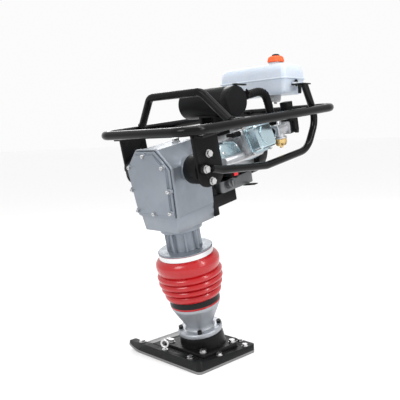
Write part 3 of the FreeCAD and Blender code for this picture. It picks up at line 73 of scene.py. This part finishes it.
def surface(name, color, rough, metal=0.0, grain=60.0, bump=0.1,
            dust=0.0, wear=0.0, coat=0.0, spread=0.12, spec=0.5):
    """A procedural finish: tone and roughness drift, fine grain, dust on upward faces, rubbed edges."""
    m = bpy.data.materials.new(name)
    m.use_nodes = True
    tree = m.node_tree
    shader = tree.nodes["Principled BSDF"]
    shader.inputs["Metallic"].default_value = metal
    shader.inputs["Specular IOR Level"].default_value = spec
    shader.inputs["Coat Weight"].default_value = coat
    shader.inputs["Coat Roughness"].default_value = COAT_ROUGHNESS
    place = tree.nodes.new("ShaderNodeTexCoord").outputs["Object"]

    def noise(scale, detail, roughness=0.55):
        node = tree.nodes.new("ShaderNodeTexNoise")
        node.inputs["Scale"].default_value = scale
        node.inputs["Detail"].default_value = detail
        node.inputs["Roughness"].default_value = roughness
        tree.links.new(place, node.inputs["Vector"])
        return node.outputs["Fac"]

    def remap(value, low, high, to_low, to_high):
        node = tree.nodes.new("ShaderNodeMapRange")
        for slot, number in (("From Min", low), ("From Max", high), ("To Min", to_low), ("To Max", to_high)):
            node.inputs[slot].default_value = number
        tree.links.new(value, node.inputs["Value"])
        return node.outputs["Result"]

    def mixed(factor, first, second):
        node = tree.nodes.new("ShaderNodeMix")
        node.data_type = "RGBA"
        tree.links.new(factor, node.inputs[MIX_FACTOR])
        for socket, value in ((node.inputs[MIX_FIRST], first), (node.inputs[MIX_SECOND], second)):
            if isinstance(value, tuple):
                socket.default_value = value
            else:
                tree.links.new(value, socket)
        return node.outputs[MIX_RESULT]

    def shade(factor, lift=0.0):
        return tuple(min(1, c * factor + lift) for c in color) + (1,)

    tone = mixed(remap(noise(9, 4), 0.3, 0.7, 0, 1), shade(1 - spread), shade(1 + spread))
    out = mixed(remap(noise(grain * 6, 2), 0.35, 0.75, 0, 0.35), tone, shade(0.75))
    if wear:
        geometry = tree.nodes.new("ShaderNodeNewGeometry")
        edge = remap(geometry.outputs["Pointiness"], 0.53, 0.6, 0, wear)
        out = mixed(edge, out, shade(0.6, lift=0.35))
    if dust:
        geometry = tree.nodes.new("ShaderNodeNewGeometry")
        split = tree.nodes.new("ShaderNodeSeparateXYZ")
        tree.links.new(geometry.outputs["Normal"], split.inputs[0])
        facing = remap(split.outputs["Z"], 0.1, 1.0, 0, dust)
        patchy = tree.nodes.new("ShaderNodeMath")
        patchy.operation = "MULTIPLY"
        tree.links.new(facing, patchy.inputs[0])
        tree.links.new(remap(noise(22, 6, 0.7), 0.35, 0.7, 0.25, 1), patchy.inputs[1])
        out = mixed(patchy.outputs[0], out, DUST_COLOR)
    tree.links.new(out, shader.inputs["Base Color"])
    drift = remap(noise(grain * 0.5, 5), 0.3, 0.7, max(0.03, rough - 0.07), rough + 0.08)
    tree.links.new(drift, shader.inputs["Roughness"])
    relief = tree.nodes.new("ShaderNodeBump")
    relief.inputs["Strength"].default_value = bump
    relief.inputs["Distance"].default_value = RELIEF_DEPTH
    tree.links.new(noise(grain * 8, 3), relief.inputs["Height"])
    tree.links.new(relief.outputs["Normal"], shader.inputs["Normal"])
    return m


def tank_plastic():
    """Translucent white plastic."""
    m = surface("tank_plastic", (0.60, 0.66, 0.74), 0.33, grain=25, bump=0.06, spread=0.03)
    shader = m.node_tree.nodes["Principled BSDF"]
    shader.inputs["Subsurface Weight"].default_value = 0.55
    shader.inputs["Subsurface Radius"].default_value = (0.02, 0.024, 0.03)
    shader.inputs["Subsurface Scale"].default_value = 1.0
    shader.inputs["Transmission Weight"].default_value = 0.12
    return m


# slot: colour, roughness, metal, grain, bump, and the finish's other values
FINISHES = {
    "sole_steel": ((0.22, 0.22, 0.22), 0.42, 0.85, 70, 0.25, dict(wear=0.5)),
    "shoe_black": ((0.005, 0.0055, 0.006), 0.46, 0.0, 80, 0.45, dict(dust=0.004, wear=0.04, spec=0.13)),
    "boot_black": ((0.0045, 0.0045, 0.005), 0.36, 0.0, 90, 0.35, dict(wear=0.04, spec=0.14)),
    "bolt_steel": ((0.62, 0.62, 0.62), 0.28, 1.0, 120, 0.12, dict(wear=0.2)),
    "black_steel": ((0.0028, 0.0028, 0.0032), 0.3, 0.0, 90, 0.14, dict(wear=0.03, spec=0.12)),
    "cylinder_grey": ((0.34, 0.36, 0.39), 0.40, 0.55, 85, 0.3, dict(wear=0.15, coat=0.1, spread=0.06)),
    "case_silver": ((0.215, 0.24, 0.275), 0.40, 0.55, 95, 0.34, dict(wear=0.2, coat=0.1, spread=0.06)),
    "clamp_steel": ((0.66, 0.67, 0.68), 0.25, 1.0, 100, 0.08, dict()),
    "bellows_red": ((0.40, 0.002, 0.005), 0.24, 0.0, 30, 0.05, dict(coat=0.4, spread=0.07, spec=0.4)),
    "rubber_black": ((0.004, 0.004, 0.0045), 0.45, 0.0, 70, 0.2, dict(spec=0.12)),
    "spring_steel": ((0.25, 0.25, 0.26), 0.3, 1.0, 90, 0.1, dict()),
    "bush_nylon": ((0.72, 0.69, 0.6), 0.45, 0.0, 50, 0.1, dict()),
    "gear_steel": ((0.42, 0.42, 0.43), 0.3, 1.0, 110, 0.12, dict(wear=0.2)),
    "engine_alloy": ((0.50, 0.51, 0.53), 0.36, 0.8, 95, 0.34, dict(wear=0.25)),
    "fin_alloy": ((0.60, 0.61, 0.63), 0.32, 0.85, 95, 0.2, dict(wear=0.2)),
    "cover_zinc": ((0.47, 0.59, 0.64), 0.24, 0.95, 60, 0.07, dict(wear=0.2, spread=0.08)),
    "brass": ((0.70, 0.50, 0.22), 0.28, 1.0, 80, 0.1, dict(wear=0.2)),
    "black_plastic": ((0.0042, 0.0044, 0.005), 0.4, 0.0, 85, 0.3, dict(wear=0.03, spec=0.12)),
    "tube_black": ((0.002, 0.002, 0.0025), 0.16, 0.0, 60, 0.03, dict(wear=0.02, spec=0.18)),
    "cap_orange": ((0.82, 0.095, 0.006), 0.34, 0.0, 60, 0.12, dict(spread=0.08)),
    "switch_red": ((0.70, 0.012, 0.018), 0.3, 0.0, 60, 0.08, dict(spread=0.08)),
    "grey_plastic": ((0.40, 0.41, 0.42), 0.4, 0.0, 60, 0.15, dict()),
    "filter_paper": ((0.7, 0.58, 0.33), 0.8, 0.0, 60, 0.3, dict()),
    "sump_dark": ((0.13, 0.135, 0.14), 0.4, 0.6, 90, 0.4, dict(wear=0.3)),
}
M = {slot: surface(slot, *values, **others) for slot, (*values, others) in FINISHES.items()}
M["tank_white"] = tank_plastic()
slot_of = {part["node"]: part["material_slot"] for part in frame["record"]["subparts"]}
# node: the width of its edges' bevel, in mm
BEVEL = {
    "crankcase": 2.5, "front_cover": 1.6, "engine_block": 3.0, "cylinder_head": 2.0, "valve_cover": 1.6,
    "boot": 3.0, "shoe_block": 2.2, "side_plates": 1.5, "engine_bracket": 2.0, "engine_sump": 3.0,
    "muffler": 3.0, "intake_box": 2.0, "clutch_housing": 2.0, "air_canister": 1.2, "air_end_cap": 1.0,
    "fan_shroud": 2.5, "recoil_housing": 1.5, "recoil_grip": 2.5, "carburettor": 1.0, "tank_brackets": 0.7,
    "sole_plate": 1.5, "guide_cylinder": 1.2, "cylinder_barrel": 0.5, "switch_body": 1.5,
    "spring_cylinder": 1.0, "rubber_mounts": 3.0, "tank_cap": 0.8,
}
BEVEL_ABOVE = math.radians(38)
MERGE_GAP = 0.00002
for name, node in nodes.items():
    node.data.materials.clear()
    node.data.materials.append(M[slot_of[name]])
    for polygon in node.data.polygons:
        polygon.use_smooth = True
    if name in BEVEL:
        merge = node.modifiers.new("weld", "WELD")
        merge.merge_threshold = MERGE_GAP
        bevel = node.modifiers.new("edge", "BEVEL")
        bevel.width = BEVEL[name] / 1000
        bevel.segments = 2
        bevel.limit_method = "ANGLE"
        bevel.angle_limit = BEVEL_ABOVE
        bevel.harden_normals = True
        bevel.use_clamp_overlap = True


# ------------------------------------------------------------------ mesh helpers

def skin(name, sections, slot, body, loop=False, smooth=True, split=40.0):
    """A closed piece over rings of points, with capped ends or with its last ring joined to its first."""
    rows, count = len(sections), len(sections[0])
    faces = []
    for i in range(rows if loop else rows - 1):
        here, there = i * count, (i + 1) % rows * count
        for j in range(count):
            k = (j + 1) % count
            faces.append((here + j, here + k, there + k, there + j))
    if not loop:
        faces.append(tuple(reversed(range(count))))
        faces.append(tuple(range((rows - 1) * count, rows * count)))
    mesh = bpy.data.meshes.new(name)
    mesh.from_pydata([tuple(point) for ring in sections for point in ring], [], faces)
    mesh.validate()
    obj = bpy.data.objects.new(name, mesh)
    bpy.context.scene.collection.objects.link(obj)
    mesh.materials.append(M[slot])
    for polygon in mesh.polygons:
        polygon.use_smooth = smooth
    if smooth:
        mesh.set_sharp_from_angle(angle=math.radians(split))
    if body:
        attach(obj, body)
    return obj


def turns(count):
    """Equal steps round a full turn."""
    return [2 * math.pi * j / count for j in range(count)]


def circle(centre, across, up, radius, count):
    return [centre + (across * math.cos(a) + up * math.sin(a)) * radius for a in turns(count)]


def square_on(direction):
    """The unit direction and two more at right angles to it."""
    along = direction.normalized()
    side = along.orthogonal().normalized()
    return along, side, along.cross(side)


def lathe(name, profile, slot, body, segments):
    """A turned skin about the leg's axis; its profile of (radius, height) in mm closes on itself."""
    sections = [[leg(r * math.cos(a), r * math.sin(a), h) for a in turns(segments)] for r, h in profile]
    return skin(name, sections, slot, body, loop=True)


def sweep(name, path, radius, slot, body, segments, bumps=None):
    """A round piece along a path of row-frame points; bumps gives extra radius along it."""
    sections, side = [], None
    for i, point in enumerate(path):
        ahead = (path[min(i + 1, len(path) - 1)] - path[max(i - 1, 0)]).normalized()
        if side is None:
            side = ahead.orthogonal().normalized()
        side = (side - ahead * side.dot(ahead)).normalized()
        r = radius + (bumps(i / (len(path) - 1)) if bumps else 0)
        sections.append(circle(point, side, ahead.cross(side), r, segments))
    return skin(name, sections, slot, body)


def catmull_rom(a, b, c, d, t):
    """A smooth step from b to c."""
    return 0.5 * ((2 * b) + (c - a) * t + (2 * a - 5 * b + 4 * c - d) * t * t
                  + (3 * b - a - 3 * c + d) * t ** 3)


def smooth_path(points, steps=14):
    """A smooth open path through the points."""
    path = []
    spread = [points[0] * 2 - points[1]] + points + [points[-1] * 2 - points[-2]]
    for i in range(1, len(spread) - 2):
        path += [catmull_rom(*spread[i - 1:i + 3], k / steps) for k in range(steps)]
    path.append(points[-1])
    return path


# ------------------------------------------------------------------ bellows

BELLOWS_THICK = 2.4
FOLDS_LOW, FOLDS_HIGH = 217.0, 356.0
# each fold's share of the height, its radius, and its points along the profile
FOLDS = [(0.18, 93.0, 12), (0.15, 100.0, 12), (0.155, 105.0, 12), (0.155, 106.0, 12), (0.36, 104.0, 20)]
FOLD_DEPTH = 7.5
ROOT_LOW, ROOT_HIGH = 84.0, 87.0
LOW_CUFF = [(79.2, 190.5), (81.5, 190.5), (82.6, 192.2), (81.6, 194.5), (81.0, 197), (81.0, 215), (82, 216.5)]
HIGH_CUFF = [(86.2, 356.5), (86.2, 371), (87.2, 372.5), (86.0, 374)]


def bellows_profile():
    """The skin's outside and then its inside, as (radius, height) in mm up the leg."""
    radii = [radius for _, radius, _ in FOLDS]
    roots = [ROOT_LOW] + [min(pair) - FOLD_DEPTH for pair in zip(radii, radii[1:])] + [ROOT_HIGH]
    outer = list(LOW_CUFF)
    h = FOLDS_LOW
    for (share, radius, count), root_low, root_high in zip(FOLDS, roots, roots[1:]):
        step = share * (FOLDS_HIGH - FOLDS_LOW)
        for k in range(count):
            t = k / count
            base = root_low + (root_high - root_low) * t
            bulge = max(0.0, math.sin(math.pi * t)) ** 0.62
            outer.append((base + (radius - base) * bulge, h + step * t))
        h += step
    outer += HIGH_CUFF
    return outer + [(r - BELLOWS_THICK, height) for r, height in reversed(outer)]


bellows = lathe("bellows_skin", bellows_profile(), "bellows_red", None, segments=128)
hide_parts("bellows")
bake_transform(bellows)

# ------------------------------------------------------------------ fuel tank

def rounded_ring(x, y, radius, z, per_corner=8):
    """A level rectangle with rounded corners, in mm."""
    ring = []
    for corner, (sx, sy) in enumerate(((1, 1), (-1, 1), (-1, -1), (1, -1))):
        cx = (x[1] - radius) if sx > 0 else (x[0] + radius)
        cy = (y[1] - radius) if sy > 0 else (y[0] + radius)
        for k in range(per_corner + 1):
            a = math.pi / 2 * (corner + k / per_corner)
            ring.append(Vector((cx + radius * math.cos(a), cy + radius * math.sin(a), z)) / 1000)
    return ring


TANK_X, TANK_Y = (-148.0, 150.0), (278.0, 398.0)
TANK_CORNER, TANK_CORNER_LEAST = 17.0, 6.0
# the tank's outline from the bottom up, as (inset, z); the steps near 905 are its seam
TANK_PROFILE = [
    (20, 853.0), (14.5, 853.4), (10.5, 855.0), (8.0, 858.0), (6.4, 862.5), (5.0, 870), (3.2, 882),
    (1.4, 896), (0.6, 902.4), (-3.6, 903.0), (-4.4, 904.0), (-4.4, 906.0), (-3.6, 907.0), (0.6, 907.6),
    (1.2, 914), (2.0, 924), (3.4, 934), (6.0, 941), (10.0, 947), (15.0, 951.6), (21, 954.6), (28, 956.4),
    (36, 957.0),
]
EAR_X, EAR_Y, EAR_CORNER = (140, 163), (319, 351), 5
EAR_HEIGHTS = (884.1, 885, 889, 890)


def tank_ring(inset, z):
    x = (TANK_X[0] + inset, TANK_X[1] - inset)
    y = (TANK_Y[0] + inset * 0.7, TANK_Y[1] - inset * 0.7)
    return rounded_ring(x, y, max(TANK_CORNER_LEAST, TANK_CORNER - inset * 0.25), z)


tank_rings = [tank_ring(inset, z) for inset, z in TANK_PROFILE]
tank = skin("tank_shell", tank_rings, "tank_white", "handle", split=70)
for side in (-1, 1):
    ear_x = sorted(side * x for x in EAR_X)
    ear = [rounded_ring(ear_x, EAR_Y, EAR_CORNER, z) for z in EAR_HEIGHTS]
    skin("tank_ear_%s" % ("right" if side < 0 else "left"), ear, "tank_white", "handle")
CAP_X, CAP_Y = 0.080, 0.323


def upright(name, profile, slot, body, segments=64, wave=None):
    """A turned piece about the filler cap's axis; profile is (radius, z) in mm."""
    sections = []
    for r, z in profile:
        ring = []
        for a in turns(segments):
            reach = (r + (wave(a, z) if wave else 0)) / 1000
            ring.append(Vector((CAP_X + reach * math.cos(a), CAP_Y + reach * math.sin(a), z / 1000)))
        sections.append(ring)
    return skin(name, sections, slot, body)


def ribs(depth, count, low, high):
    """Ribs to grip, between two heights."""
    return lambda a, z: depth * math.cos(count * a) if low < z < high else 0.0


NECK_PROFILE = [(20, 948), (25, 950), (25, 956), (24, 958), (24, 963), (20, 963.2)]
CAP_PROFILE = [(12, 963.5), (27.2, 963.5), (28.2, 964.4), (28.3, 967), (26.6, 975), (24.4, 981),
               (20.5, 984.2), (15, 985.2), (3, 985.3)]
KNOB_PROFILE = [(4, 985.0), (12.5, 985.2), (13.5, 986.4), (12.6, 989), (9.0, 991.4), (3, 992.2)]
upright("filler_neck", NECK_PROFILE, "tank_white", "handle")
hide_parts("fuel_tank")
cap = upright("cap_shell", CAP_PROFILE, "cap_orange", "cap", segments=144, wave=ribs(0.8, 24, 965, 982))
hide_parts("tank_cap")
upright("cap_knob", KNOB_PROFILE, "black_plastic", "cap", wave=ribs(0.5, 12, 986, 990))

# ------------------------------------------------------------------ air hose

HOSE_RADIUS = 0.0135
HOSE_RIB, HOSE_RIB_RATE = 0.0009, 150
HOSE_RIBBED = (0.07, 0.93)
low_end = leg(96, 404, 692)
hose_points = [
    Vector((0.098, 0.1335, 0.8445)), Vector((0.098, 0.17, 0.8525)), Vector((0.098, 0.205, 0.859)),
    Vector((0.098, 0.235, 0.852)), Vector((0.097, 0.253, 0.827)), Vector((0.096, 0.266, 0.795)),
    leg(98, 403, 700), Vector((0.104, low_end.y, low_end.z)), Vector((0.1165, low_end.y, low_end.z)),
]


def hose_ribs(t):
    """The ribs' height at a share t of the hose's path; its two ends are plain."""
    return HOSE_RIB * max(0.0, math.sin(t * HOSE_RIB_RATE)) if HOSE_RIBBED[0] < t < HOSE_RIBBED[1] else 0.0


hose = sweep("hose_tube", smooth_path(hose_points), HOSE_RADIUS, "rubber_black", "upper", 28, hose_ribs)
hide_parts("intake_hose")

CLAMP_RADIUS, BAND_THICK = 0.0138, 0.0013
# the clamp screw's profile, as (place along it, radius)
CLAMP_SCREW = [(-0.009, 0.001), (-0.0088, 0.0033), (0.0075, 0.0033), (0.0078, 0.0042), (0.0105, 0.0042),
               (0.0107, 0.001)]


def hose_clamp(name, centre, along, width):
    """A worm-drive band with its screw."""
    along, side, other = square_on(along)
    inner, outer = CLAMP_RADIUS, CLAMP_RADIUS + BAND_THICK
    band = [circle(centre + along * d * width, side, other, r, 40)
            for r, d in ((inner, -0.5), (outer, -0.5), (outer, 0.5), (inner, 0.5))]
    skin(name, band, "black_steel", "upper", loop=True)
    seat = centre + side * (CLAMP_RADIUS + 0.0035)
    screw = [circle(seat + other * d, side, along, r, 12) for d, r in CLAMP_SCREW]
    skin(name + "_screw", screw, "black_steel", "upper")


hose_clamp("hose_clamp_top", Vector((0.098, 0.1415, 0.8465)), Vector((0, 1, 0.22)), 0.009)
hose_clamp("hose_clamp_low", Vector((0.111, low_end.y, low_end.z)), SIDE, 0.007)

# ------------------------------------------------------------------ small pieces the solids leave out

tab = [rounded_ring((96, 112), (78, 134), 5, z) for z in (877.0, 878.0, 880.4, 881.2)]
skin("air_cap_tab", tab, "black_plastic", "upper")
GASKET_FRONT, GASKET_BACK = -82.4, -81.8
GASKET_OUT, GASKET_IN = 0.2, -7


def case_ring(grow, y):
    """The front cover's outline at a depth y, grown by some mm."""
    half = [(43 + grow * 0.4, 711 + grow), (86 + grow, 668 + grow * 0.4),
            (97 + grow, 655), (84 + grow, 508 - grow)]
    outline = half + [(-x, z) for x, z in reversed(half)]
    return [leg(x, y, z) for x, z in outline]


gasket = [case_ring(grow, y) for grow, y in ((GASKET_OUT, GASKET_FRONT), (GASKET_OUT, GASKET_BACK),
                                             (GASKET_IN, GASKET_BACK), (GASKET_IN, GASKET_FRONT))]
skin("cover_gasket", gasket, "rubber_black", "upper", loop=True, smooth=False)
BOW_TOP, BOW_FOOT = (0.118, -0.080, 0.850), (0.213, -0.045, 0.7509)
BEAD_THICK, BEAD_RIPPLE, BEAD_RIPPLES = 0.0021, 0.0005, 18
BEAD_RADIUS, BEAD_UP = 0.0128, 0.0175


def weld_bead(name, centre, axis):
    """A rippled bead round the bow's foot."""
    axis, side, other = square_on(axis)
    sections = []
    for a in turns(72):
        out = side * math.cos(a) + other * math.sin(a)
        r = BEAD_THICK + BEAD_RIPPLE * math.sin(BEAD_RIPPLES * a)
        sections.append(circle(centre + out * BEAD_RADIUS, out, axis, r, 10))
    skin(name, sections, "black_steel", "handle", loop=True)


for side in (-1, 1):
    top, foot = (Vector((side * x, y, z)) for x, y, z in (BOW_TOP, BOW_FOOT))
    run = (top - foot).normalized()
    weld_bead("bow_weld_%s" % ("r" if side < 0 else "l"), foot + run * BEAD_UP, run)

# the starter's rope, from the guide to the grip
rope_start, rope_end = leg(-52, 372, 668), leg(-52, 390, 668)
rope_path = [rope_start.lerp(rope_end, k / 8) for k in range(9)]
rope = sweep("starter_rope", rope_path, 0.0021, "black_plastic", None, 10)
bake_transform(rope)

# ------------------------------------------------------------------ engine side casting and fittings

def slab(name, outline, x, slot, body, inset):
    """A cast plate: an outline in the leg's side plane, thick along x, with its outer edges rounded off."""
    middle_y = sum(p[0] for p in outline) / len(outline)
    middle_h = sum(p[1] for p in outline) / len(outline)

    def ring(shrink, at):
        out = []
        for y, h in outline:
            away = math.hypot(y - middle_y, h - middle_h)
            k = 1 - shrink / away
            out.append(leg(at, middle_y + (y - middle_y) * k, middle_h + (h - middle_h) * k))
        return out

    sections = [ring(0, x[0]), ring(0, x[1] - inset),
                ring(inset * 0.3, x[1] - inset * 0.3), ring(inset, x[1])]
    skin(name, sections, slot, body)


def curve_outline(points, steps=8):
    """A smooth closed outline through (y, h) points."""
    out = []
    count = len(points)
    for i in range(count):
        near = [Vector((*points[(i + k) % count], 0)) for k in (-1, 0, 1, 2)]
        for s in range(steps):
            p = catmull_rom(*near, s / steps)
            out.append((p.x, p.y))
    return out


CASTING = [(128, 640), (128, 668), (150, 680), (194, 672), (210, 652), (230, 626), (285, 612), (312, 612),
           (312, 602), (262, 600), (190, 610), (140, 620)]
CASTING_BOLTS = [(140, 650), (204, 660), (196, 622), (298, 607)]
# a hexagon head, as (radius, x)
BOLT_HEAD = [(5.2, 98), (5.2, 103), (4.4, 104.5), (1, 105)]
slab("side_casting", curve_outline(CASTING), (60, 100), "cover_zinc", "upper", 4)
rim = [leg(101, y, h) for y, h in curve_outline(CASTING[2:8], 10)[:50]]
sweep("casting_rim", rim, 0.0032, "cover_zinc", "upper", 10)
for i, (y, h) in enumerate(CASTING_BOLTS):
    head = [[leg(x, y + r * math.cos(a), h + r * math.sin(a)) for a in (math.pi / 3 * k for k in range(6))]
            for r, x in BOLT_HEAD]
    skin("casting_bolt_%d" % i, head, "bolt_steel", "upper", smooth=False)

# ------------------------------------------------------------------ stage, light and camera

WHITE = (1, 1, 1, 1)


def plane(name, size, z, color):
    """A level, faintly glowing floor."""
    mesh = bpy.data.meshes.new(name)
    corners = [(-size, -size, z), (size, -size, z), (size, size, z), (-size, size, z)]
    mesh.from_pydata(corners, [], [(0, 1, 2, 3)])
    obj = bpy.data.objects.new(name, mesh)
    bpy.context.scene.collection.objects.link(obj)
    m = bpy.data.materials.new(name)
    m.use_nodes = True
    shader = m.node_tree.nodes["Principled BSDF"]
    shader.inputs["Base Color"].default_value = color
    shader.inputs["Roughness"].default_value = 0.85
    shader.inputs["Specular IOR Level"].default_value = 0.1
    shader.inputs["Emission Color"].default_value = WHITE
    shader.inputs["Emission Strength"].default_value = 0.16
    mesh.materials.append(m)


plane("floor", 60, -0.0005, (0.80, 0.80, 0.80, 1))
world = bpy.data.worlds.new("studio")
bpy.context.scene.world = world
world.use_nodes = True
sky = world.node_tree.nodes["Background"]
sky.inputs["Color"].default_value = WHITE
sky.inputs["Strength"].default_value = 0.97


def area(name, place, aim, size, power):
    """A white rectangular light at a place, turned towards its aim."""
    data = bpy.data.lights.new(name, "AREA")
    data.shape = "RECTANGLE"
    data.size, data.size_y = size
    data.energy = power
    obj = bpy.data.objects.new(name, data)
    obj.location = place
    obj.rotation_euler = (Vector(aim) - Vector(place)).to_track_quat("-Z", "Y").to_euler()
    bpy.context.scene.collection.objects.link(obj)


area("key", (0.2, -2.8, 2.4), (0, 0, 0.45), (1.3, 1.5), 40)
area("side", (2.8, 0.3, 1.5), (0, 0, 0.5), (1.0, 2.0), 12)
area("rim", (-2.4, 1.8, 2.2), (0, 0, 0.6), (1.4, 1.4), 26)
area("top", (0.2, 0.2, 3.2), (0, 0, 0.3), (1.8, 1.8), 22)
area("strip", (1.7, 0.3, 2.3), (0, 0.1, 0.7), (0.14, 2.4), 20)

CAMERA_PLACE = Vector((1.355, -1.292, 0.714))
CAMERA_LENS, CAMERA_SENSOR = 52.36, 36
AZIMUTH, ELEVATION, ROLL = (math.radians(angle) for angle in (46.058, 6.046, -2.138))
camera_data = bpy.data.cameras.new("camera")
camera_data.lens = CAMERA_LENS
camera_data.sensor_width = CAMERA_SENSOR
camera = bpy.data.objects.new("camera", camera_data)
away = Vector((math.sin(AZIMUTH) * math.cos(ELEVATION), -math.cos(AZIMUTH) * math.cos(ELEVATION),
               math.sin(ELEVATION)))
level = Vector((math.cos(AZIMUTH), math.sin(AZIMUTH), 0))
rise = away.cross(level)
right = level * math.cos(ROLL) + rise * math.sin(ROLL)
up = rise * math.cos(ROLL) - level * math.sin(ROLL)
camera.matrix_world = Matrix((*zip(right, up, away, CAMERA_PLACE), (0, 0, 0, 1)))
bpy.context.scene.collection.objects.link(camera)
bpy.context.scene.camera = camera
bpy.context.scene.view_settings.view_transform = "Standard"
